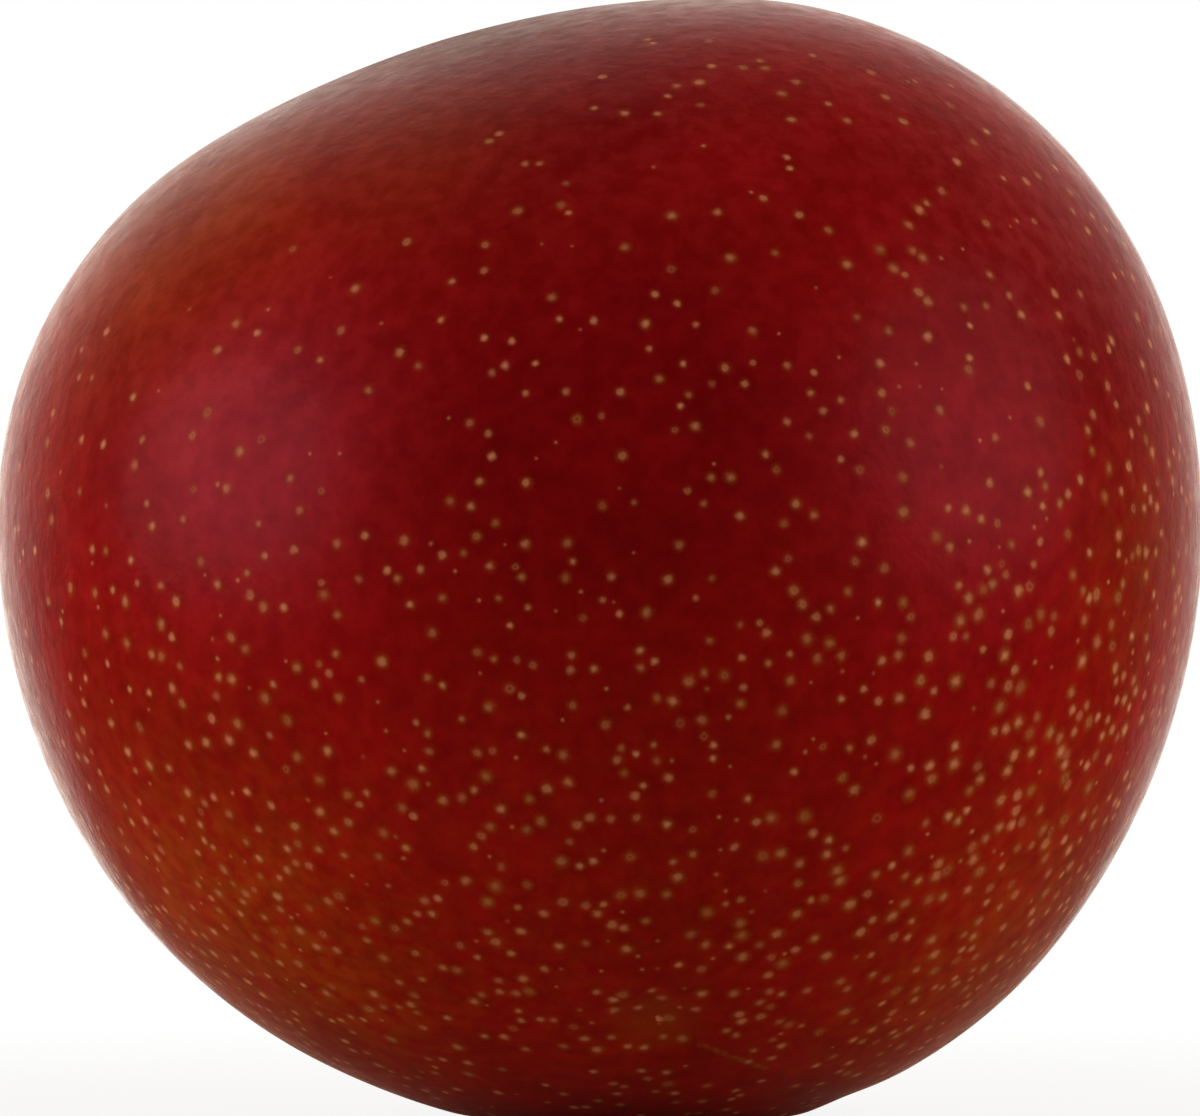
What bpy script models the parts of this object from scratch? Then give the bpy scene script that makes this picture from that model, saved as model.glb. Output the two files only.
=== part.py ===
"""A plumcot: one whole ripe fruit, picked with no stem, lying on a small flat spot.

Frame: metres, +Z up. The origin is the middle of the flat spot that the fruit rests on.
The front of the fruit faces -Y and +X is to the right of it.

The fruit grew as one piece, so it is one closed solid. Its skin is given by a distance from
the fruit's heart in every direction: a front outline that dies away to the front and back,
less the stem cavity, the suture groove and the dimple at the blossom end.
"""

import bmesh
import bpy
import numpy as np

# Front outline: the distance from the heart to the edge, every 30 degrees from +X towards +Z
OUTLINE_RADII = (
    0.03110, 0.03203, 0.03131, 0.02847,
    0.02821, 0.03078, 0.03092, 0.03012,
    0.02958, 0.02971, 0.03072, 0.03072,
)
DEPTH_RADIUS = 0.0302  # from the heart to the middle of the front, and of the back

# Where the heart lies above the flat spot, and how softly the skin meets the surface
HEART = (-0.0010, 0.0, 0.0287)
FLAT_EDGE = 0.0003

# The two ends, as directions from the heart: the fruit lies on its side with its tip forwards
STEM_END = (-0.24, 0.52, 0.82)
BLOSSOM_END = (0.095, -0.627, -0.773)
SKIN_RADIUS = 0.0292  # turns an angle at the heart into a distance over the skin

STEM_CAVITY_DEPTH = 0.0058
STEM_CAVITY_WIDTH = 0.0056  # distance at which the cavity is a third of its depth
SHOULDER_HEIGHT = 0.0006
SHOULDER_DISTANCE = 0.0115  # from the middle of the cavity to the crest round it
SHOULDER_WIDTH = 0.0050

SUTURE_PASSES = (0.52, 0.32, -0.79)  # a direction on the suture, low on the back
SUTURE_DEPTH = 0.00075
SUTURE_FADES = 0.045  # distance from the stem end at which it is a third of that depth
SUTURE_WIDTH = 0.0019
SUTURE_START = 0.0050  # how far out from the fruit's axis the groove takes to begin
SUTURE_NOTCH_DEPTH = 0.0009  # more than SUTURE_DEPTH, where it crosses the shoulder
SUTURE_NOTCH_LENGTH = 0.0060

BLOSSOM_DIMPLE_DEPTH = 0.00045
BLOSSOM_DIMPLE_WIDTH = 0.0022

# Facets: a ball of even triangles, split once more where the skin turns sharply
BALL_SUBDIVISIONS = 5
FINE_ROUND_STEM = 0.0145
FINE_ROUND_FLAT = 0.0105
FINE_BESIDE_SUTURE = 0.0042
FINE_ROUND_BLOSSOM = 0.0050

SKIN_COLOUR = (0.125, 0.004, 0.006)
SKIN_ROUGHNESS = 0.42


def unit(vector):
    vector = np.array(vector, dtype=float)
    return vector / np.linalg.norm(vector)


def distance_over_skin(directions, end):
    """The straight distance, at the skin, from each direction to one end of the fruit."""
    turned = np.clip(directions @ unit(end), -1.0, 1.0)
    return SKIN_RADIUS * np.sqrt(2.0 - 2.0 * turned)


def bell(distance, width):
    return np.exp(-((distance / width) ** 2))


def outline_radius(directions):
    """The front outline as a sum of waves round the heart, each fading towards the front and back."""
    waves = np.fft.rfft(OUTLINE_RADII) / len(OUTLINE_RADII)
    mean_radius = waves[0].real
    seen_from_front = directions[:, 0] + 1j * directions[:, 2]
    radius = mean_radius + (DEPTH_RADIUS - mean_radius) * directions[:, 1] ** 2
    for count, wave in enumerate(waves[1:-1], start=1):
        radius = radius + 2.0 * (wave * seen_from_front**count).real
    return radius


def stem_cavity(directions):
    """How far the cavity sinks the skin at the stem end, less the shoulder that stands round it."""
    distance = distance_over_skin(directions, STEM_END)
    hollow = STEM_CAVITY_DEPTH * bell(distance, STEM_CAVITY_WIDTH)
    return hollow - SHOULDER_HEIGHT * bell(distance - SHOULDER_DISTANCE, SHOULDER_WIDTH)


def suture_place(directions):
    """Each direction's distance to one side of the suture, and its distance out from the fruit's axis."""
    stem_end = unit(STEM_END)
    axis = unit(BLOSSOM_END) - stem_end
    sideways = unit(np.cross(axis, unit(SUTURE_PASSES) - stem_end))
    outwards = unit(np.cross(sideways, axis))
    from_stem = directions - stem_end
    return SKIN_RADIUS * (from_stem @ sideways), SKIN_RADIUS * (from_stem @ outwards)


def suture_groove(directions):
    """How far the suture sinks the skin, from the stem cavity down the back to the blossom end."""
    aside, out = suture_place(directions)
    reached = np.clip(out / SUTURE_START, 0.0, 1.0)
    begun = reached * reached * (3.0 - 2.0 * reached)
    from_stem = distance_over_skin(directions, STEM_END)
    depth = SUTURE_DEPTH * bell(from_stem, SUTURE_FADES)
    notch = SUTURE_NOTCH_DEPTH * bell(from_stem - SHOULDER_DISTANCE, SUTURE_NOTCH_LENGTH)
    return (depth + notch) * begun * bell(aside, SUTURE_WIDTH)


def blossom_dimple(directions):
    return BLOSSOM_DIMPLE_DEPTH * bell(distance_over_skin(directions, BLOSSOM_END), BLOSSOM_DIMPLE_WIDTH)


def rested(points):
    """The points with everything below the surface pressed flat, and a short soft bend at its edge."""
    height = points[:, 2]
    bend = (height + FLAT_EDGE) ** 2 / (4.0 * FLAT_EDGE)
    points[:, 2] = np.where(height > FLAT_EDGE, height, np.where(height < -FLAT_EDGE, 0.0, bend))
    return points


def skin_points(directions):
    """The point of the skin in each unit direction from the heart."""
    radius = outline_radius(directions)
    radius = radius - stem_cavity(directions) - suture_groove(directions) - blossom_dimple(directions)
    return rested(np.array(HEART) + directions * radius[:, None])


def all_directions(mesh):
    directions = np.array([vertex.co for vertex in mesh.verts])
    return directions / np.linalg.norm(directions, axis=1)[:, None]


def needs_fine_facets(directions):
    aside, out = suture_place(directions)
    beside_suture = (np.abs(aside) < FINE_BESIDE_SUTURE) & (out > 0.0)
    round_stem = distance_over_skin(directions, STEM_END) < FINE_ROUND_STEM
    round_flat = distance_over_skin(directions, (0.0, 0.0, -1.0)) < FINE_ROUND_FLAT
    round_blossom = distance_over_skin(directions, BLOSSOM_END) < FINE_ROUND_BLOSSOM
    return beside_suture | round_stem | round_flat | round_blossom


def fruit_mesh():
    ball = bmesh.new()
    bmesh.ops.create_icosphere(ball, subdivisions=BALL_SUBDIVISIONS, radius=1.0)
    ball.verts.ensure_lookup_table()
    fine = needs_fine_facets(all_directions(ball))
    split = [edge for edge in ball.edges if fine[edge.verts[0].index] or fine[edge.verts[1].index]]
    bmesh.ops.subdivide_edges(ball, edges=split, cuts=1, use_grid_fill=True)
    for vertex, point in zip(ball.verts, skin_points(all_directions(ball))):
        vertex.co = point
    bmesh.ops.triangulate(ball, faces=ball.faces)
    bmesh.ops.recalc_face_normals(ball, faces=ball.faces)
    mesh = bpy.data.meshes.new("fruit")
    ball.to_mesh(mesh)
    ball.free()
    mesh.shade_smooth()
    return mesh


def skin_material():
    material = bpy.data.materials.new("skin")
    material.use_nodes = True
    material.diffuse_color = (*SKIN_COLOUR, 1.0)
    shader = material.node_tree.nodes["Principled BSDF"]
    shader.inputs["Base Color"].default_value = (*SKIN_COLOUR, 1.0)
    shader.inputs["Roughness"].default_value = SKIN_ROUGHNESS
    shader.inputs["Metallic"].default_value = 0.0
    return material


def main():
    for leftover in list(bpy.data.objects):
        bpy.data.objects.remove(leftover)
    fruit = bpy.data.objects.new("fruit", fruit_mesh())
    fruit.data.materials.append(skin_material())
    bpy.context.scene.collection.objects.link(fruit)


main()
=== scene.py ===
"""Looks of a whole ripe plumcot: its skin over the fixed solid, and a plain studio round it.

The file is laid out as a Blender add-on with a panel, and is run as a script. Lengths are in
metres, +Z is up, the front of the fruit faces -Y and the flat spot that it rests on is at the
origin. The skin keeps the form of the solid that it replaces, with finer facets and its scars.
"""

import bmesh
import bpy
import numpy as np
from bpy.props import FloatProperty, FloatVectorProperty, PointerProperty
from bpy.types import Operator, Panel, PropertyGroup
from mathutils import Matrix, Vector, kdtree, noise


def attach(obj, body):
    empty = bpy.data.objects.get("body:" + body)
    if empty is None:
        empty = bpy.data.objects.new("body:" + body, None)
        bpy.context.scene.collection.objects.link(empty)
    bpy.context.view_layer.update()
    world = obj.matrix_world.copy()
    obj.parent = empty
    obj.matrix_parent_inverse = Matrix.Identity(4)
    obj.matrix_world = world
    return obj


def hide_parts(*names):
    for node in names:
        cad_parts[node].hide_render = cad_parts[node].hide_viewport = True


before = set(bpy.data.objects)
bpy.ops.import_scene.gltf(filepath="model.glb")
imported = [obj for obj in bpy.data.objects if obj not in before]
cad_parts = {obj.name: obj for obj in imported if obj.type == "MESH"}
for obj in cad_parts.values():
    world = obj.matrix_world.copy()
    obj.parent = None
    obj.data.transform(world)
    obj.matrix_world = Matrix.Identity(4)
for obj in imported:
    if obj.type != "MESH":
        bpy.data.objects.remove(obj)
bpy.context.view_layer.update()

bl_info = {
    "name": "Plumcot",
    "version": (1, 0, 0),
    "blender": (4, 5, 0),
    "location": "3D View > Sidebar > Plumcot",
    "description": "Builds the freckled skin of a ripe plumcot and a plain studio round it",
    "category": "Object",
}

FRUIT_NODE = "fruit"
MILLIMETRES = 1000.0  # in a metre

# Front outline: the distance from the heart to the edge, every 30 degrees from +X towards +Z
OUTLINE_RADII = (
    0.03110, 0.03203, 0.03131, 0.02847,
    0.02821, 0.03078, 0.03092, 0.03012,
    0.02958, 0.02971, 0.03072, 0.03072,
)
DEPTH_RADIUS = 0.0302
HEART = (-0.0010, 0.0, 0.0287)
FLAT_EDGE = 0.0003

# The two ends, as directions from the heart
STEM_END = (-0.24, 0.52, 0.82)
BLOSSOM_END = (0.095, -0.627, -0.773)
SKIN_RADIUS = 0.0292

STEM_CAVITY_WIDTH = 0.0056
SHOULDER_HEIGHT = 0.0006
SHOULDER_DISTANCE = 0.0115
SHOULDER_WIDTH = 0.0050

SUTURE_PASSES = (0.52, 0.32, -0.79)
SUTURE_FADES = 0.045
SUTURE_WIDTH = 0.0019
SUTURE_START = 0.0050
SUTURE_NOTCH_DEPTH = 0.0009
SUTURE_NOTCH_LENGTH = 0.0060

BLOSSOM_DIMPLE_DEPTH = 0.00045
BLOSSOM_DIMPLE_WIDTH = 0.0022

SWELLINGS_ACROSS = 4.0  # faint swellings of the skin, to the length of its radius

# Scars that only the skin has: a corky ring where the stem came off, a nib where the flower was
STEM_SCAR_RADIUS = 0.0015
STEM_SCAR_RIM = 0.00028
STEM_SCAR_RIM_WIDTH = 0.00045
BLOSSOM_NIB_HEIGHT = 0.00012
BLOSSOM_NIB_WIDTH = 0.00035

# Facets of the skin: a ball of even triangles, split again where the skin turns sharply
BALL_SUBDIVISIONS = 7
FINE_ROUND_STEM = 0.0140
FINE_BESIDE_SUTURE = 0.0032
FINE_ROUND_BLOSSOM = 0.0040
FINEST_ROUND_SCAR = 0.0028

# Where each colour of the skin lies: a direction from the heart, a reach over the skin, a strength
COLOUR_PATCHES = {
    # Deep crimson: the patches on the front, high up and at the left and right edges are painted shade; the
    # one on the back is the skin's own darker crimson
    "deep_and_painted_shade": (
        ((0.02, -0.97, 0.21), 0.0100, 1.8), ((0.80, -0.50, 0.35), 0.0100, 1.1),
        ((-0.10, -0.62, 0.78), 0.0090, 1.5), ((0.25, 0.93, 0.25), 0.0130, 0.8),
        ((-0.97, -0.20, -0.05), 0.0080, 0.5), ((-0.79, -0.55, 0.27), 0.0040, 0.7),
    ),
    # Rose: a painted highlight, a brighter and cooler colour where the soft boxes shine high on both sides
    "rose_painted_highlight": (((-0.58, -0.79, 0.18), 0.0060, 1.4), ((0.58, -0.80, 0.16), 0.0062, 0.8)),
    "gold": (
        ((-0.60, -0.44, -0.67), 0.0115, 1.0), ((0.68, -0.30, -0.67), 0.0110, 0.8),
        ((0.00, -0.70, -0.71), 0.0165, 0.22), ((-0.35, 0.80, -0.45), 0.0150, 0.7),
        ((0.90, -0.43, -0.02), 0.0065, 0.45),
    ),
    "olive": (
        ((-0.72, -0.36, 0.60), 0.0090, 0.8), ((-0.36, -0.60, 0.71), 0.0065, 0.3),
        (STEM_END, 0.0110, 1.0),
    ),
    # Brown shoulder: the crest by the stem end made darker and browner, partly the skin's own brown and
    # partly painted shade at the rim of the stem cavity
    "shoulder": (((-0.25, -0.10, 0.96), 0.0115, 1.0),),
    "wax": ((STEM_END, 0.0250, 1.0), ((0.70, -0.40, 0.60), 0.0100, 0.3)),
}

# The dots: how many there are on a square millimetre, and how near to each other they may be
DOTS_FEWEST = 0.20
DOTS_MOST = 0.75
DOTS_TRIED = 1.15  # for each dot wanted, since those too near another one are left out
DOT_SPACING = 0.00050
DOT_SPREAD = 0.55  # of the mean distance between dots, wherever that is more than the spacing
PAIRED_SHARE = 0.07
PAIR_DISTANCES = (1.05, 1.50)  # between the two dots of a pair, in spacings
DOT_SEED = 7

# The side with the most dots: its direction from the heart, and the cosines of the angles from it
# at which the dots begin to crowd and are at their most
CROWDED_SIDE = (0.28, -0.15, -0.95)
CROWDING_STARTS = -0.42
CROWDING_FULL = 0.72

# Sides without dots, likewise: a direction, and the cosines at which they thin out and are gone
BARE_SIDES = (((-0.50, -0.15, 0.85), 0.72, 0.83), ((0.22, 0.10, 0.97), 0.80, 0.87))
BARE_ROUND_STEM = 0.010
DOTS_LEAST = 1e-9  # instead of none, so that their mean distance stays a number

# Patches with fewer dots: a direction, a reach over the skin, the share of them that is missing
THIN_PATCHES = (((0.00, -0.95, -0.30), 0.0090, 0.2), ((0.05, -0.30, -0.95), 0.0095, 0.7))

# Size and strength of each dot, between two limits. Its halo is stronger where dots are crowded
DOT_RADII = (0.00017, 0.00025)
DOT_STRENGTHS = (0.30, 0.95)
SMALL_DOT_SHARE = 0.14
SMALL_DOT_RADII = (0.00009, 0.00013)
SMALL_DOT_STRENGTH = 0.7  # times what it would be in another dot
SMALL_DOT_HALO = 0.5
HALO_STRENGTHS = (0.2, 1.0)
HALO_ANYWHERE = 0.30
HALO_WHERE_CROWDED = 0.42  # on top of HALO_ANYWHERE, where there are the most dots
PORE_STRENGTHS = (-0.6, 1.0)  # a dot with less than zero has no pore

# Patches with larger or smaller dots: a direction, a reach over the skin, the change of radius
DOT_SIZE_PATCHES = (((0.00, -0.99, 0.10), 0.0160, -0.22), ((0.78, -0.55, -0.30), 0.0130, 0.22))

# The parts of a dot: distances from its middle, in radii, at which each is full and has ended
CORE_FADES = (0.00, 1.55)
HALO_FADES = (0.40, 2.60)
PORE_FADES = (0.05, 0.75)
PORE_DARKENS = 0.40  # how much less pale the dot is at a full pore

# How the dots are given to the facets
DOTS_AT_ONCE = 3  # how many dots may reach one facet
FACET_SIZE = 0.0004
OUT_OF_REACH = 9.0  # in radii, for a facet that no dot reaches

# A healed scratch beside the blossom end, as directions from the heart
SCRATCH_START = (0.172, -0.566, -0.806)
SCRATCH_END = (0.277, -0.461, -0.843)
SCRATCH_WIDTH = 0.36  # in millimetres

# Patterns of the skin: how many to the millimetre, how many finer layers, how strong those are
CLOUDS = (0.16, 4.0, 0.60)
MOTTLE = (0.9, 3.0, 0.55)
FLECKS = (1.0, 2.0, 0.55)
DOT_EDGES = (3.2, 1.0, 0.50)
SCAR_GRAIN = (2.5, 3.0, 0.60)
SCAR_CRUMBS = (1.6, 1.0, 0.50)
WEAR = (0.8, 3.0, 0.60)
WRINKLES = (1.0, 3.0, 0.60)
FINE_GRAIN = (4.0, 2.0, 0.50)
DIMPLES = (0.8, 2.0, 0.50)
FLECK_SHAPE = (1.0, 1.0, 0.55)  # drawn out along the fruit's own axis
WRINKLE_SHAPE = (0.8, 0.8, 0.0)  # round that axis
WRINKLE_RINGS = 4.0  # to the millimetre, going out from the stem end

# What a pattern does: between which two of its values it acts, and what it gives at each of them
DEEP_AND_PAINTED_SHADE_BY_CLOUDS = (0.35, 0.60, 0.75, 1.00)
OLIVE_BY_CLOUDS = (0.35, 0.65, 0.65, 1.00)
GOLD_BY_FLECKS = (0.30, 0.70, 0.40, 1.30)
WAX_BY_MOTTLE = (0.35, 0.70, 0.10, 0.36)
SHADE_BY_CLOUDS = (0.30, 0.70, 0.88, 1.10)
SHADE_BY_MOTTLE = (0.30, 0.70, 0.88, 1.11)
WAVER_BY_EDGES = (0.30, 0.70, -0.16, 0.16)
CORK_BY_GRAIN = (0.30, 0.60, 0.70, 1.00)
SCRATCH_BY_GRAIN = (0.38, 0.64, 0.20, 0.90)
NIB_BY_CRUMBS = (0.47, 0.56, 0.00, 1.00)
ROUGH_BY_WEAR = (0.30, 0.70, -0.05, 0.05)

# The same for a distance from one end of the fruit, in millimetres
CORK_ROUND_STEM = (1.5, 2.4, 1.00, 0.00)
WRINKLES_ROUND_STEM = (12.0, 27.0, 9.00, 0.00)
OLIVE_ROUND_BLOSSOM = (0.4, 3.2, 0.45, 0.00)
NIB_ROUND_BLOSSOM = (0.25, 0.65, 0.85, 0.00)

# Fine relief: the height of one step in metres, and everything else in such steps
RELIEF_STEP = 0.00002
PORE_DEPTH = 1.3
GRAIN_HEIGHT = 0.5
DIMPLE_HEIGHT = 2.5

SKIN_IOR = 1.07
DULL_ROUGHNESS = 0.20  # added where the skin is waxed or brown
DOT_ROUGHNESS = 0.15  # added on the dots

# The studio's light: pure white where the camera looks, and a little warmer where it lights the fruit
WHITE = (1.0, 1.0, 1.0, 1.0)
WARM_WHITE = (1.0, 0.955, 0.84, 1.0)
BACKDROP_MIDDLE = (0.0, 0.98, 0.18)  # the direction of its brightest part from the fruit
BACKDROP_STARTS = 0.33  # cosine of the angle from that direction at which its light begins
LEAN_STOPS = 0.5  # how far to the left and right it goes on growing brighter or darker

LEFT_BOX = (-0.48, -0.135, 0.13)
LEFT_BOX_WIDTH = 0.44
LEFT_BOX_COLOUR = (0.97, 0.92, 0.95)
RIGHT_BOX = (0.46, -0.13, 0.21)
RIGHT_BOX_WIDTH = 0.48
RIGHT_BOX_COLOUR = (1.0, 0.97, 0.95)

FLOOR_RADIUS = 3.0
FLOOR_SIDES = 96
FLOOR_COLOUR = (0.64, 0.58, 0.46, 1.0)
FLOOR_STARTS_TO_FADE = 0.03  # distance from the origin
FLOOR_FADED = 0.11
FLOOR_SEEN_FADED = 0.9  # how far the floor has faded under the fruit, to the camera only

CAMERA_AIM = (-0.0009, 0.0, 0.0288)
LENS = 300.0  # in millimetres, as the sensor is
SENSOR = 36.0
NEAREST_SEEN = 0.01
FARTHEST_SEEN = 50.0

# Where new nodes are put in a node tree
NODE_STEP = 220.0
NODE_DROP = 60.0
NODE_ROWS = 14


class PlumcotForm(PropertyGroup):
    stem_cavity_depth: FloatProperty(
        name="Stem cavity", description="Depth of the hollow where the stem grew",
        default=0.0058, min=0.0, max=0.008, unit="LENGTH",
    )
    suture_depth: FloatProperty(
        name="Suture", description="Depth of the groove down the back of the fruit",
        default=0.00075, min=0.0, max=0.002, unit="LENGTH",
    )
    unevenness: FloatProperty(
        name="Unevenness", description="Height of the faint swellings all over the skin",
        default=0.00006, min=0.0, max=0.0005, unit="LENGTH",
    )


class PlumcotSkin(PropertyGroup):
    crimson: FloatVectorProperty(
        name="Crimson", description="Main colour of the ripe skin",
        subtype="COLOR", size=4, default=(0.322, 0.0040, 0.0040, 1.0), min=0.0, max=1.0,
    )
    # Deep crimson: the skin's own darkest patches on the back, and painted shade on the front of the fruit
    deep_crimson_and_painted_shade: FloatVectorProperty(
        name="Deep crimson", description="Darkest patches of the skin",
        subtype="COLOR", size=4, default=(0.240, 0.0020, 0.0036, 1.0), min=0.0, max=1.0,
    )
    # Rose: the colour of a painted highlight high on both sides, where the soft boxes shine
    rose_painted_highlight: FloatVectorProperty(
        name="Rose", description="Brighter, cooler patches high on both sides",
        subtype="COLOR", size=4, default=(0.393, 0.0180, 0.0280, 1.0), min=0.0, max=1.0,
    )
    gold: FloatVectorProperty(
        name="Golden ground", description="Ground colour that shows through low on both sides",
        subtype="COLOR", size=4, default=(0.345, 0.0400, 0.0030, 1.0), min=0.0, max=1.0,
    )
    olive: FloatVectorProperty(
        name="Olive shoulder", description="Ground colour beside the stem end, faint at the other end",
        subtype="COLOR", size=4, default=(0.350, 0.0560, 0.0030, 1.0), min=0.0, max=1.0,
    )
    # Brown shoulder: partly the skin's own brown, partly painted shade at the rim of the stem cavity
    shoulder: FloatVectorProperty(
        name="Brown shoulder", description="Dull, brownish skin on the crest towards the stem end",
        subtype="COLOR", size=4, default=(0.150, 0.0190, 0.0090, 1.0), min=0.0, max=1.0,
    )
    wax: FloatVectorProperty(
        name="Wax", description="Pale bloom of wax round the stem end",
        subtype="COLOR", size=4, default=(0.330, 0.1200, 0.1120, 1.0), min=0.0, max=1.0,
    )
    dot: FloatVectorProperty(
        name="Dots", description="Pale dots of the skin, and crumbs where the flower was",
        subtype="COLOR", size=4, default=(0.760, 0.2500, 0.1200, 1.0), min=0.0, max=1.0,
    )
    halo: FloatVectorProperty(
        name="Halo", description="Soft ring round each dot, and the healed scratch",
        subtype="COLOR", size=4, default=(0.310, 0.0880, 0.0080, 1.0), min=0.0, max=1.0,
    )
    cork: FloatVectorProperty(
        name="Cork", description="Dry scar where the stem came off",
        subtype="COLOR", size=4, default=(0.250, 0.116, 0.052, 1.0), min=0.0, max=1.0,
    )
    roughness: FloatProperty(
        name="Roughness", description="How satin the waxed skin is",
        default=0.21, min=0.0, max=1.0, subtype="FACTOR",
    )


class PlumcotStudio(PropertyGroup):
    camera_distance: FloatProperty(
        name="Camera distance", description="From the lens to the point that it aims at",
        default=0.5165, min=0.1, unit="LENGTH",
    )
    camera_elevation: FloatProperty(
        name="Camera elevation", description="How far the camera looks down",
        default=0.0, subtype="ANGLE",
    )
    room: FloatProperty(
        name="Room", description="Strength of the even white light all round",
        default=0.12, min=0.0,
    )
    backdrop: FloatProperty(
        name="Backdrop", description="Strength of the white backdrop behind the fruit",
        default=1.82, min=0.0,
    )
    lean: FloatProperty(
        name="Lean", description="How much brighter the backdrop is on the left than on the right",
        default=0.30, min=0.0, max=1.0, subtype="FACTOR",
    )
    left_light: FloatProperty(
        name="Left light", description="Power of the soft box on the left, in watts",
        default=1.95, min=0.0,
    )
    right_light: FloatProperty(
        name="Right light", description="Power of the soft box on the right, in watts",
        default=1.65, min=0.0,
    )


def unit(vector):
    vector = np.array(vector, dtype=float)
    return vector / np.linalg.norm(vector)


def distance_over_skin(directions, end):
    """The straight distance, at the skin, from each direction to another one."""
    turned = np.clip(directions @ unit(end), -1.0, 1.0)
    return SKIN_RADIUS * np.sqrt(2.0 - 2.0 * turned)


def bell(distance, width):
    return np.exp(-((distance / width) ** 2))


def smooth_step(value, low, high):
    share = np.clip((value - low) / (high - low), 0.0, 1.0)
    return share * share * (3.0 - 2.0 * share)


def outline_radius(directions):
    """The front outline as a sum of waves round the heart, each fading towards the front and back."""
    waves = np.fft.rfft(OUTLINE_RADII) / len(OUTLINE_RADII)
    mean_radius = waves[0].real
    seen_from_front = directions[:, 0] + 1j * directions[:, 2]
    radius = mean_radius + (DEPTH_RADIUS - mean_radius) * directions[:, 1] ** 2
    for count, wave in enumerate(waves[1:-1], start=1):
        radius = radius + 2.0 * (wave * seen_from_front**count).real
    return radius


def stem_cavity(directions, depth):
    distance = distance_over_skin(directions, STEM_END)
    hollow = depth * bell(distance, STEM_CAVITY_WIDTH)
    return hollow - SHOULDER_HEIGHT * bell(distance - SHOULDER_DISTANCE, SHOULDER_WIDTH)


def suture_place(directions):
    """Each direction's distance to one side of the suture, and its distance out from the fruit's axis."""
    stem_end = unit(STEM_END)
    axis = unit(BLOSSOM_END) - stem_end
    sideways = unit(np.cross(axis, unit(SUTURE_PASSES) - stem_end))
    outwards = unit(np.cross(sideways, axis))
    from_stem = directions - stem_end
    return SKIN_RADIUS * (from_stem @ sideways), SKIN_RADIUS * (from_stem @ outwards)


def suture_groove(directions, full_depth):
    aside, out = suture_place(directions)
    begun = smooth_step(out, 0.0, SUTURE_START)
    from_stem = distance_over_skin(directions, STEM_END)
    depth = full_depth * bell(from_stem, SUTURE_FADES)
    notch = SUTURE_NOTCH_DEPTH * bell(from_stem - SHOULDER_DISTANCE, SUTURE_NOTCH_LENGTH)
    return (depth + notch) * begun * bell(aside, SUTURE_WIDTH)


def blossom_dimple(directions):
    return BLOSSOM_DIMPLE_DEPTH * bell(distance_over_skin(directions, BLOSSOM_END), BLOSSOM_DIMPLE_WIDTH)


def scars(directions):
    """The corky rim in the stem cavity and the nib at the blossom end, as a rise of the skin."""
    from_scar = distance_over_skin(directions, STEM_END) - STEM_SCAR_RADIUS
    from_blossom = distance_over_skin(directions, BLOSSOM_END)
    rim = STEM_SCAR_RIM * bell(from_scar, STEM_SCAR_RIM_WIDTH)
    return rim + BLOSSOM_NIB_HEIGHT * bell(from_blossom, BLOSSOM_NIB_WIDTH)


def unevenness(directions):
    """Faint swellings, about 7 mm across, between -1 and 1."""
    return np.array([noise.noise(Vector(direction) * SWELLINGS_ACROSS) for direction in directions])


def rested(points):
    """The points with everything below the floor pressed flat, and a short soft bend at its edge."""
    height = points[:, 2]
    bend = (height + FLAT_EDGE) ** 2 / (4.0 * FLAT_EDGE)
    points[:, 2] = np.where(height > FLAT_EDGE, height, np.where(height < -FLAT_EDGE, 0.0, bend))
    return points


def skin_points(directions, form):
    radius = outline_radius(directions)
    radius = radius - stem_cavity(directions, form.stem_cavity_depth)
    radius = radius - suture_groove(directions, form.suture_depth) - blossom_dimple(directions)
    radius = radius + scars(directions) + form.unevenness * unevenness(directions)
    return rested(np.array(HEART) + directions * radius[:, None])


def all_directions(mesh):
    directions = np.array([vertex.co for vertex in mesh.verts])
    return directions / np.linalg.norm(directions, axis=1)[:, None]


def split_facets(ball, chosen):
    """Splits every edge that touches a chosen vertex, once."""
    ball.verts.index_update()
    edges = [edge for edge in ball.edges if chosen[edge.verts[0].index] or chosen[edge.verts[1].index]]
    bmesh.ops.subdivide_edges(ball, edges=edges, cuts=1, use_grid_fill=True)
    bmesh.ops.triangulate(ball, faces=ball.faces)


def fine_places(directions):
    aside, out = suture_place(directions)
    beside_suture = (np.abs(aside) < FINE_BESIDE_SUTURE) & (out > 0.0)
    round_stem = distance_over_skin(directions, STEM_END) < FINE_ROUND_STEM
    round_blossom = distance_over_skin(directions, BLOSSOM_END) < FINE_ROUND_BLOSSOM
    return beside_suture | round_stem | round_blossom


def finest_places(directions):
    round_scar = distance_over_skin(directions, STEM_END) < FINEST_ROUND_SCAR
    return round_scar | (distance_over_skin(directions, BLOSSOM_END) < FINEST_ROUND_SCAR)


def write_values(mesh, name, values):
    attribute = mesh.attributes.new(name, "FLOAT", "POINT")
    attribute.data.foreach_set("value", values.astype(np.float32))


def paint_places(mesh, directions):
    """How much of each colour every vertex has (1 or more is all of it), and its distances in mm."""
    from_stem = distance_over_skin(directions, STEM_END)
    from_blossom = distance_over_skin(directions, BLOSSOM_END)
    for name, patches in COLOUR_PATCHES.items():
        shares = [strength * bell(distance_over_skin(directions, middle), reach)
                  for middle, reach, strength in patches]
        write_values(mesh, name, np.max(shares, axis=0))
    write_values(mesh, "from_stem", from_stem * MILLIMETRES)
    write_values(mesh, "from_blossom", from_blossom * MILLIMETRES)


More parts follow.
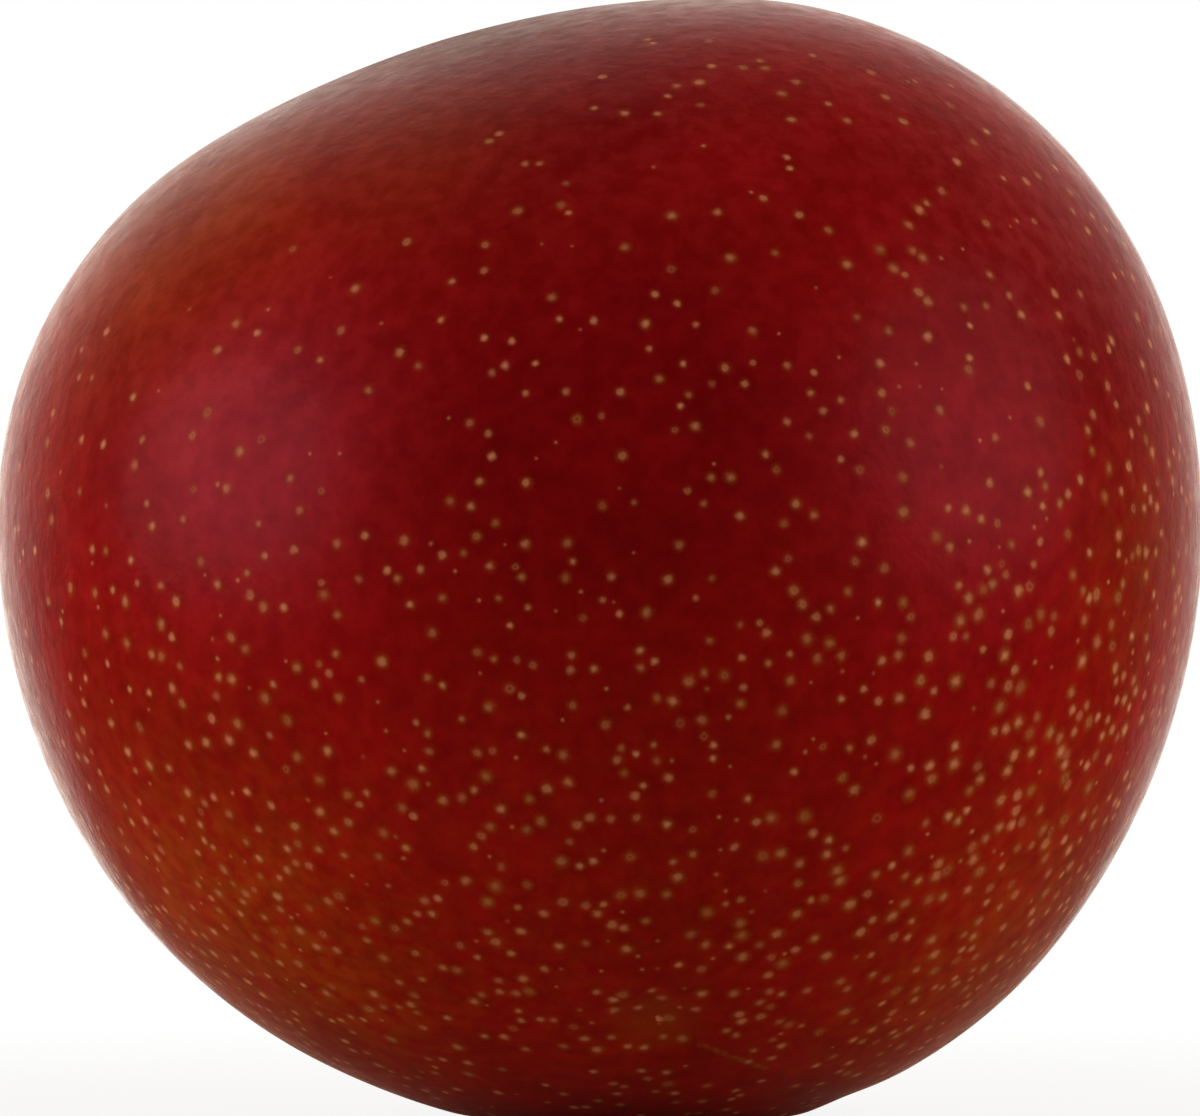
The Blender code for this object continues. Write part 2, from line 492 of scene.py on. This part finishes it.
def dots_wanted(directions):
    """How many dots there should be on each square millimetre."""
    crowded = smooth_step(directions @ unit(CROWDED_SIDE), CROWDING_STARTS, CROWDING_FULL)
    wanted = DOTS_FEWEST + (DOTS_MOST - DOTS_FEWEST) * crowded
    for middle, reach, missing in THIN_PATCHES:
        wanted = wanted * (1.0 - missing * bell(distance_over_skin(directions, middle), reach))
    for middle, starts, gone in BARE_SIDES:
        wanted = wanted * (1.0 - smooth_step(directions @ unit(middle), starts, gone))
    round_stem = bell(distance_over_skin(directions, STEM_END), BARE_ROUND_STEM)
    return np.maximum(wanted * (1.0 - round_stem), DOTS_LEAST)


def strewn_directions(chance):
    """Directions of the dots from the heart: spread fairly evenly, with some of them in pairs."""
    area = 4.0 * np.pi * (SKIN_RADIUS * MILLIMETRES) ** 2
    tries = chance.normal(size=(int(area * DOTS_MOST * DOTS_TRIED), 3))
    tries = tries / np.linalg.norm(tries, axis=1)[:, None]
    wanted = dots_wanted(tries)
    kept = chance.random(len(tries)) < wanted / DOTS_MOST
    spread = DOT_SPREAD / np.sqrt(wanted[kept]) / MILLIMETRES
    placed = np.zeros((len(tries) * 2, 3))
    count = 0
    for direction, room in zip(tries[kept], np.maximum(spread, DOT_SPACING)):
        candidates = [(direction, room)]
        if chance.random() < PAIRED_SHARE:
            aside = unit(np.cross(direction, chance.normal(size=3)))
            beside = unit(direction + aside * chance.uniform(*PAIR_DISTANCES) * DOT_SPACING / SKIN_RADIUS)
            candidates.append((beside, DOT_SPACING))
        for candidate, apart in candidates:
            nearest = np.max(placed[:count] @ candidate, initial=-1.0)
            if SKIN_RADIUS * np.sqrt(max(2.0 - 2.0 * nearest, 0.0)) > apart:
                placed[count] = candidate
                count += 1
    return placed[:count]


def dot_looks(chance, directions):
    """Each dot's radius, and its traits: how strong its core, its halo and its pore are."""
    count = len(directions)
    small = chance.random(count) < SMALL_DOT_SHARE
    small_radii = chance.uniform(*SMALL_DOT_RADII, count)
    radii = np.where(small, small_radii, chance.uniform(*DOT_RADII, count))
    for middle, reach, change in DOT_SIZE_PATCHES:
        radii = radii * (1.0 + change * bell(distance_over_skin(directions, middle), reach))
    strength = chance.uniform(*DOT_STRENGTHS, count) * np.where(small, SMALL_DOT_STRENGTH, 1.0)
    crowded = dots_wanted(directions) / DOTS_MOST
    halo = chance.uniform(*HALO_STRENGTHS, count) * (HALO_ANYWHERE + HALO_WHERE_CROWDED * crowded)
    halo = halo * np.where(small, SMALL_DOT_HALO, 1.0)
    pore = np.maximum(chance.uniform(*PORE_STRENGTHS, count), 0.0) * np.where(small, 0.0, 1.0)
    return radii, np.column_stack([strength, halo, pore])


def dots_by_facet(mesh, centres, radii):
    """The dots that reach each facet, nearest first, measured in radii of each dot."""
    middles = kdtree.KDTree(len(mesh.polygons))
    for facet in mesh.polygons:
        middles.insert(facet.center, facet.index)
    middles.balance()
    reaching = {}
    for dot, centre in enumerate(centres):
        reach = radii[dot] * HALO_FADES[1] + FACET_SIZE
        for _, facet, distance in middles.find_range(centre, reach):
            reaching.setdefault(facet, []).append((distance / radii[dot], dot))
    return {facet: [dot for _, dot in sorted(dots)] for facet, dots in reaching.items()}


def strew_dots(mesh, form):
    """Gives each facet the dots that reach it: their place from its corners, in radii, and their traits."""
    chance = np.random.default_rng(DOT_SEED)
    directions = strewn_directions(chance)
    centres = skin_points(directions, form)
    radii, traits = dot_looks(chance, directions)
    reaching = dots_by_facet(mesh, centres, radii)

    corners = np.zeros((len(mesh.polygons), 3), dtype=int)
    mesh.polygons.foreach_get("vertices", corners.ravel())
    vertices = np.zeros((len(mesh.vertices), 3))
    mesh.vertices.foreach_get("co", vertices.ravel())
    for rank in range(DOTS_AT_ONCE):
        facets = [facet for facet, dots in reaching.items() if len(dots) > rank]
        dots = [reaching[facet][rank] for facet in facets]
        from_dots = vertices[corners[facets]] - centres[dots][:, None]
        offsets = np.full((len(mesh.polygons), 3, 3), OUT_OF_REACH)
        offsets[facets] = from_dots / radii[dots][:, None, None]
        looks = np.zeros((len(mesh.polygons), 3, 3))
        looks[facets] = traits[dots][:, None]
        for name, values in (("dot_offset", offsets), ("dot_traits", looks)):
            attribute = mesh.attributes.new(f"{name}_{rank}", "FLOAT_VECTOR", "CORNER")
            attribute.data.foreach_set("vector", values.astype(np.float32).ravel())


def skin_mesh(form):
    ball = bmesh.new()
    bmesh.ops.create_icosphere(ball, subdivisions=BALL_SUBDIVISIONS, radius=1.0)
    split_facets(ball, fine_places(all_directions(ball)))
    split_facets(ball, finest_places(all_directions(ball)))
    directions = all_directions(ball)
    for vertex, point in zip(ball.verts, skin_points(directions, form)):
        vertex.co = point
    bmesh.ops.recalc_face_normals(ball, faces=ball.faces)
    mesh = bpy.data.meshes.new("plumcot_skin")
    ball.to_mesh(mesh)
    ball.free()
    mesh.shade_smooth()
    paint_places(mesh, directions)
    strew_dots(mesh, form)
    return mesh


class Wiring:
    """Adds nodes to one node tree. An input may be given a value or another node's output."""

    def __init__(self, tree):
        self.tree = tree

    def add(self, kind, inputs=None, **settings):
        node = self.tree.nodes.new(kind)
        for name, value in settings.items():
            setattr(node, name, value)
        sources = []
        for key, value in (inputs or {}).items():
            if isinstance(value, bpy.types.NodeSocket):
                self.tree.links.new(value, node.inputs[key])
                sources.append(value.node)
            else:
                node.inputs[key].default_value = value
        node.location.x = max((source.location.x for source in sources), default=0.0) + NODE_STEP
        node.location.y = -NODE_DROP * (len(self.tree.nodes) % NODE_ROWS)
        return node

    def math(self, operation, first, second):
        return self.add("ShaderNodeMath", {0: first, 1: second}, operation=operation).outputs[0]

    def vector(self, operation, first, second=(0.0, 0.0, 0.0)):
        return self.add("ShaderNodeVectorMath", {0: first, 1: second}, operation=operation).outputs[0]

    def scaled(self, vector, scale):
        return self.add("ShaderNodeVectorMath", {0: vector, "Scale": scale}, operation="SCALE").outputs[0]

    def measured(self, operation, first, second=(0.0, 0.0, 0.0)):
        node = self.add("ShaderNodeVectorMath", {0: first, 1: second}, operation=operation)
        return node.outputs["Value"]

    def ramp(self, value, low, high, start, end):
        inputs = {"Value": value, "From Min": low, "From Max": high, "To Min": start, "To Max": end}
        return self.add("ShaderNodeMapRange", inputs, interpolation_type="SMOOTHSTEP").outputs[0]

    def mixed(self, share, first, second):
        """Mixes two numbers, which a Mix node takes at its sockets 2 and 3."""
        return self.add("ShaderNodeMix", {0: share, 2: first, 3: second}).outputs[0]

    def blend(self, share, first, second):
        """Mixes two colours, which a Mix node takes at its sockets 6 and 7."""
        inputs = {0: share, 6: first, 7: second}
        return self.add("ShaderNodeMix", inputs, data_type="RGBA").outputs[2]

    def noise(self, vector, scale, detail, rough):
        inputs = {"Vector": vector, "Scale": scale, "Detail": detail, "Roughness": rough}
        return self.add("ShaderNodeTexNoise", inputs).outputs[0]

    def attribute(self, name, output="Fac"):
        return self.add("ShaderNodeAttribute", attribute_name=name).outputs[output]


def dot_group():
    """One dot's core, the halo round it and the pore in its middle, from the distance to it in radii."""
    group = bpy.data.node_groups.new("skin_dot", "ShaderNodeTree")
    for name in ("Offset", "Traits"):
        group.interface.new_socket(name, in_out="INPUT", socket_type="NodeSocketVector")
    group.interface.new_socket("Waver", in_out="INPUT", socket_type="NodeSocketFloat")
    for name in ("Core", "Halo", "Pore"):
        group.interface.new_socket(name, in_out="OUTPUT", socket_type="NodeSocketFloat")
    wiring = Wiring(group)
    given = wiring.add("NodeGroupInput").outputs
    share = wiring.math("ADD", wiring.measured("LENGTH", given["Offset"]), given["Waver"])
    strength, halo, pore = wiring.add("ShaderNodeSeparateXYZ", {0: given["Traits"]}).outputs
    results = {
        "Core": wiring.math("MULTIPLY", strength, wiring.ramp(share, *CORE_FADES, 1.0, 0.0)),
        "Halo": wiring.math("MULTIPLY", halo, wiring.ramp(share, *HALO_FADES, 1.0, 0.0)),
        "Pore": wiring.math("MULTIPLY", pore, wiring.ramp(share, *PORE_FADES, 1.0, 0.0)),
    }
    wiring.add("NodeGroupOutput", results)
    return group


def dots_of_skin(wiring, place):
    """The cores, halos and pores of all the dots together."""
    group = dot_group()
    waver = wiring.ramp(wiring.noise(place, *DOT_EDGES), *WAVER_BY_EDGES)
    totals = {}
    for rank in range(DOTS_AT_ONCE):
        given = {
            name: wiring.attribute(f"dot_{name.lower()}_{rank}", "Vector")
            for name in ("Offset", "Traits")
        }
        node = wiring.add("ShaderNodeGroup", node_tree=group)
        for name, value in {**given, "Waver": waver}.items():
            wiring.tree.links.new(value, node.inputs[name])
        for output in node.outputs:
            total = totals.get(output.name)
            totals[output.name] = wiring.math("MAXIMUM", total, output) if total else output
    return totals


def ground_colour(wiring, skin, place, upright):
    """The skin without its dots: crimson, with gold low on the sides and olive by the stem end, painted
    shade on the front and shoulder, and a painted rose highlight on both sides.
    """
    clouds = wiring.noise(place, *CLOUDS)
    mottle = wiring.noise(place, *MOTTLE)
    flecks = wiring.noise(wiring.vector("MULTIPLY", upright, FLECK_SHAPE), *FLECKS)
    colour = tuple(skin.crimson)
    # painted shade in deep crimson on the front, with the skin's own deep crimson on the back
    deep_and_painted_shade = wiring.math("MULTIPLY", wiring.attribute("deep_and_painted_shade"), wiring.ramp(clouds, *DEEP_AND_PAINTED_SHADE_BY_CLOUDS))
    colour = wiring.blend(deep_and_painted_shade, colour, tuple(skin.deep_crimson_and_painted_shade))
    # painted highlight in rose where the soft boxes shine
    colour = wiring.blend(wiring.attribute("rose_painted_highlight"), colour, tuple(skin.rose_painted_highlight))
    golden = wiring.math("MULTIPLY", wiring.attribute("gold"), wiring.ramp(flecks, *GOLD_BY_FLECKS))
    colour = wiring.blend(golden, colour, tuple(skin.gold))
    olive = wiring.math("MULTIPLY", wiring.attribute("olive"), wiring.ramp(clouds, *OLIVE_BY_CLOUDS))
    colour = wiring.blend(olive, colour, tuple(skin.olive))
    # the brown shoulder: the skin's own brown and painted shade by the stem cavity
    colour = wiring.blend(wiring.attribute("shoulder"), colour, tuple(skin.shoulder))
    wax = wiring.math("MULTIPLY", wiring.attribute("wax"), wiring.ramp(mottle, *WAX_BY_MOTTLE))
    colour = wiring.blend(wax, colour, tuple(skin.wax))
    cloudy = wiring.ramp(clouds, *SHADE_BY_CLOUDS)
    return wiring.scaled(colour, wiring.math("MULTIPLY", cloudy, wiring.ramp(mottle, *SHADE_BY_MOTTLE)))


def scratch_mark(wiring, place):
    """One along the healed scratch, and none to the sides of it."""
    ball_radius = SKIN_RADIUS * MILLIMETRES
    start, end = (Vector(direction).normalized() * ball_radius for direction in (SCRATCH_START, SCRATCH_END))
    along = (end - start).normalized()
    on_ball = wiring.scaled(wiring.vector("NORMALIZE", place), ball_radius)
    from_start = wiring.vector("SUBTRACT", on_ball, tuple(start))
    reached = wiring.measured("DOT_PRODUCT", from_start, tuple(along))
    reached = wiring.add("ShaderNodeClamp", {0: reached, 1: 0.0, 2: (end - start).length}).outputs[0]
    aside = wiring.measured("DISTANCE", from_start, wiring.scaled(tuple(along), reached))
    return wiring.ramp(aside, 0.0, SCRATCH_WIDTH, 1.0, 0.0)


def end_scars(wiring, skin, place, colour):
    """The corky scar where the stem came off, the mark where the flower was, and the scratch by it."""
    from_stem = wiring.attribute("from_stem")
    from_blossom = wiring.attribute("from_blossom")
    grain = wiring.noise(place, *SCAR_GRAIN)
    colour = wiring.blend(wiring.ramp(from_blossom, *OLIVE_ROUND_BLOSSOM), colour, tuple(skin.olive))
    scar = wiring.ramp(from_stem, *CORK_ROUND_STEM)
    cork = wiring.math("MULTIPLY", scar, wiring.ramp(grain, *CORK_BY_GRAIN))
    colour = wiring.blend(cork, colour, tuple(skin.cork))
    crumbs = wiring.ramp(wiring.noise(place, *SCAR_CRUMBS), *NIB_BY_CRUMBS)
    nib = wiring.math("MULTIPLY", wiring.ramp(from_blossom, *NIB_ROUND_BLOSSOM), crumbs)
    colour = wiring.blend(nib, colour, tuple(skin.dot))
    healed = wiring.ramp(grain, *SCRATCH_BY_GRAIN)
    scratch = wiring.math("MULTIPLY", scratch_mark(wiring, place), healed)
    return wiring.blend(scratch, colour, tuple(skin.halo))


def skin_relief(wiring, place, upright, dots):
    """Fine relief: raised dots with a pore, wrinkles round the stem end, shallow dimples and grain."""
    raised = wiring.math("SUBTRACT", dots["Core"], wiring.math("MULTIPLY", dots["Pore"], PORE_DEPTH))
    from_stem = wiring.attribute("from_stem")
    outwards = wiring.math("MULTIPLY", from_stem, WRINKLE_RINGS)
    rings = wiring.add("ShaderNodeCombineXYZ", {2: outwards}).outputs[0]
    around = wiring.vector("MULTIPLY", upright, WRINKLE_SHAPE)
    wrinkles = wiring.noise(wiring.vector("ADD", around, rings), *WRINKLES)
    wrinkles = wiring.math("MULTIPLY", wrinkles, wiring.ramp(from_stem, *WRINKLES_ROUND_STEM))
    grain = wiring.math("MULTIPLY", wiring.noise(place, *FINE_GRAIN), GRAIN_HEIGHT)
    dimples = wiring.math("MULTIPLY", wiring.noise(place, *DIMPLES), DIMPLE_HEIGHT)
    height = wiring.math("ADD", wiring.math("ADD", raised, wrinkles), wiring.math("ADD", grain, dimples))
    relief = {"Strength": 1.0, "Distance": RELIEF_STEP, "Height": height}
    return wiring.add("ShaderNodeBump", relief).outputs[0]


def stood_on_blossom_end(wiring, place):
    """The place turned so that the fruit's own axis stands upright, for patterns that follow it."""
    axis = Vector(STEM_END).normalized() - Vector(BLOSSOM_END).normalized()
    turn = axis.rotation_difference(Vector((0.0, 0.0, 1.0)))
    turned = {"Vector": place, "Axis": tuple(turn.axis), "Angle": turn.angle}
    return wiring.add("ShaderNodeVectorRotate", turned, rotation_type="AXIS_ANGLE").outputs[0]


def skin_material(skin):
    material = bpy.data.materials.new("plumcot_skin")
    material.use_nodes = True
    tree = material.node_tree
    shader = tree.nodes["Principled BSDF"]
    wiring = Wiring(tree)
    coordinates = wiring.add("ShaderNodeTexCoord").outputs["Object"]
    place = wiring.scaled(wiring.vector("SUBTRACT", coordinates, HEART), MILLIMETRES)
    upright = stood_on_blossom_end(wiring, place)
    colour = ground_colour(wiring, skin, place, upright)
    colour = end_scars(wiring, skin, place, colour)
    dots = dots_of_skin(wiring, place)
    colour = wiring.blend(dots["Halo"], colour, tuple(skin.halo))
    pale = wiring.math("SUBTRACT", dots["Core"], wiring.math("MULTIPLY", dots["Pore"], PORE_DARKENS))
    colour = wiring.blend(pale, colour, tuple(skin.dot))
    tree.links.new(colour, shader.inputs["Base Color"])
    worn = wiring.ramp(wiring.noise(place, *WEAR), *ROUGH_BY_WEAR)
    dull = wiring.math("MAXIMUM", wiring.attribute("wax"), wiring.attribute("shoulder"))
    rough = wiring.math("ADD", worn, wiring.math("MULTIPLY", dull, DULL_ROUGHNESS))
    rough = wiring.math("ADD", rough, wiring.math("MULTIPLY", dots["Core"], DOT_ROUGHNESS))
    tree.links.new(wiring.math("ADD", rough, skin.roughness), shader.inputs["Roughness"])
    tree.links.new(skin_relief(wiring, place, upright, dots), shader.inputs["Normal"])
    shader.inputs["IOR"].default_value = SKIN_IOR
    return material


def backdrop_light(wiring, studio, direction):
    """The light of the room, with more of it in directions that point behind the fruit and to its left."""
    sideways = wiring.add("ShaderNodeSeparateXYZ", {0: direction}).outputs["X"]
    backwards = wiring.measured("DOT_PRODUCT", direction, tuple(unit(BACKDROP_MIDDLE)))
    behind = wiring.ramp(backwards, BACKDROP_STARTS, 1.0, 0.0, studio.backdrop)
    leaning = wiring.ramp(sideways, -LEAN_STOPS, LEAN_STOPS, 1.0 + studio.lean, 1.0 - studio.lean)
    return wiring.math("ADD", wiring.math("MULTIPLY", behind, leaning), studio.room)


def floor_material(studio):
    """A pale floor round the fruit that runs out into the white backdrop."""
    material = bpy.data.materials.new("studio_floor")
    material.use_nodes = True
    tree = material.node_tree
    tree.nodes.remove(tree.nodes["Principled BSDF"])
    wiring = Wiring(tree)
    place = wiring.add("ShaderNodeTexCoord").outputs["Object"]
    glow = backdrop_light(wiring, studio, wiring.vector("NORMALIZE", place))
    seen = wiring.add("ShaderNodeLightPath").outputs["Is Camera Ray"]
    shine = {"Color": wiring.blend(seen, WARM_WHITE, WHITE), "Strength": wiring.mixed(seen, glow, 1.0)}
    white = wiring.add("ShaderNodeEmission", shine)
    pale = wiring.add("ShaderNodeBsdfDiffuse", {"Color": FLOOR_COLOUR})
    away = wiring.measured("LENGTH", place)
    under_fruit = wiring.math("MULTIPLY", seen, FLOOR_SEEN_FADED)
    far = wiring.ramp(away, FLOOR_STARTS_TO_FADE, FLOOR_FADED, under_fruit, 1.0)
    floor = wiring.add("ShaderNodeMixShader", {0: far, 1: pale.outputs[0], 2: white.outputs[0]})
    tree.links.new(floor.outputs[0], tree.nodes["Material Output"].inputs["Surface"])
    return material


def white_world(studio):
    """A dim white room in front, a bright white backdrop behind, and pure white where the camera looks."""
    world = bpy.data.worlds.new("studio_room")
    world.use_nodes = True
    tree = world.node_tree
    wiring = Wiring(tree)
    direction = wiring.add("ShaderNodeTexCoord").outputs["Generated"]
    glow = backdrop_light(wiring, studio, direction)
    seen = wiring.add("ShaderNodeLightPath").outputs["Is Camera Ray"]
    background = tree.nodes["Background"]
    tree.links.new(wiring.mixed(seen, glow, 1.0), background.inputs["Strength"])
    tree.links.new(wiring.blend(seen, WARM_WHITE, WHITE), background.inputs["Color"])
    bpy.context.scene.world = world


def soft_box(name, place, width, power, colour):
    light = bpy.data.lights.new(name, "AREA")
    light.shape = "DISK"
    light.size = width
    light.energy = power
    light.color = colour
    box = bpy.data.objects.new(name, light)
    box.location = place
    box.rotation_euler = (Vector(HEART) - Vector(place)).to_track_quat("-Z", "Y").to_euler()
    box.visible_camera = False
    bpy.context.scene.collection.objects.link(box)


def studio_floor(studio):
    mesh = bpy.data.meshes.new("studio_floor")
    disc = bmesh.new()
    bmesh.ops.create_circle(disc, cap_ends=True, segments=FLOOR_SIDES, radius=FLOOR_RADIUS)
    disc.to_mesh(mesh)
    disc.free()
    mesh.materials.append(floor_material(studio))
    floor = bpy.data.objects.new("studio_floor", mesh)
    bpy.context.scene.collection.objects.link(floor)


def studio_camera(studio):
    camera = bpy.data.cameras.new("front_camera")
    camera.lens = LENS
    camera.sensor_width = SENSOR
    camera.clip_start = NEAREST_SEEN
    camera.clip_end = FARTHEST_SEEN
    holder = bpy.data.objects.new("front_camera", camera)
    back = Vector((0.0, -np.cos(studio.camera_elevation), np.sin(studio.camera_elevation)))
    holder.location = Vector(CAMERA_AIM) + back * studio.camera_distance
    holder.rotation_euler = (-back).to_track_quat("-Z", "Y").to_euler()
    bpy.context.scene.collection.objects.link(holder)
    bpy.context.scene.camera = holder


class PLUMCOT_OT_fruit(Operator):
    """Build the fruit's skin in place of the plain solid"""

    bl_idname = "plumcot.fruit"
    bl_label = "Fruit"
    bl_options = {"REGISTER", "UNDO"}

    def execute(self, context):
        mesh = skin_mesh(context.scene.plumcot_form)
        mesh.materials.append(skin_material(context.scene.plumcot_skin))
        fruit = bpy.data.objects.new("plumcot", mesh)
        context.scene.collection.objects.link(fruit)
        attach(fruit, "root")
        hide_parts(FRUIT_NODE)
        return {"FINISHED"}


class PLUMCOT_OT_studio(Operator):
    """Put a pale floor, soft light and the camera round the fruit"""

    bl_idname = "plumcot.studio"
    bl_label = "Studio"
    bl_options = {"REGISTER", "UNDO"}

    def execute(self, context):
        studio = context.scene.plumcot_studio
        context.scene.view_settings.view_transform = "Standard"
        white_world(studio)
        studio_floor(studio)
        soft_box("left_box", LEFT_BOX, LEFT_BOX_WIDTH, studio.left_light, LEFT_BOX_COLOUR)
        soft_box("right_box", RIGHT_BOX, RIGHT_BOX_WIDTH, studio.right_light, RIGHT_BOX_COLOUR)
        studio_camera(studio)
        return {"FINISHED"}


class PLUMCOT_PT_panel(Panel):
    bl_label = "Plumcot"
    bl_space_type = "VIEW_3D"
    bl_region_type = "UI"
    bl_category = "Plumcot"

    def draw(self, context):
        groups = (
            (context.scene.plumcot_form, PlumcotForm),
            (context.scene.plumcot_skin, PlumcotSkin),
            (context.scene.plumcot_studio, PlumcotStudio),
        )
        for settings, kind in groups:
            column = self.layout.column(align=True)
            for name in kind.__annotations__:
                column.prop(settings, name)
        self.layout.operator(PLUMCOT_OT_fruit.bl_idname)
        self.layout.operator(PLUMCOT_OT_studio.bl_idname)


CLASSES = (
    PlumcotForm, PlumcotSkin, PlumcotStudio,
    PLUMCOT_OT_fruit, PLUMCOT_OT_studio, PLUMCOT_PT_panel,
)


def register():
    for kind in CLASSES:
        bpy.utils.register_class(kind)
    bpy.types.Scene.plumcot_form = PointerProperty(type=PlumcotForm)
    bpy.types.Scene.plumcot_skin = PointerProperty(type=PlumcotSkin)
    bpy.types.Scene.plumcot_studio = PointerProperty(type=PlumcotStudio)


def unregister():
    del bpy.types.Scene.plumcot_studio
    del bpy.types.Scene.plumcot_skin
    del bpy.types.Scene.plumcot_form
    for kind in reversed(CLASSES):
        bpy.utils.unregister_class(kind)


def main():
    register()
    bpy.ops.plumcot.fruit()
    bpy.ops.plumcot.studio()


if __name__ == "__main__":
    main()
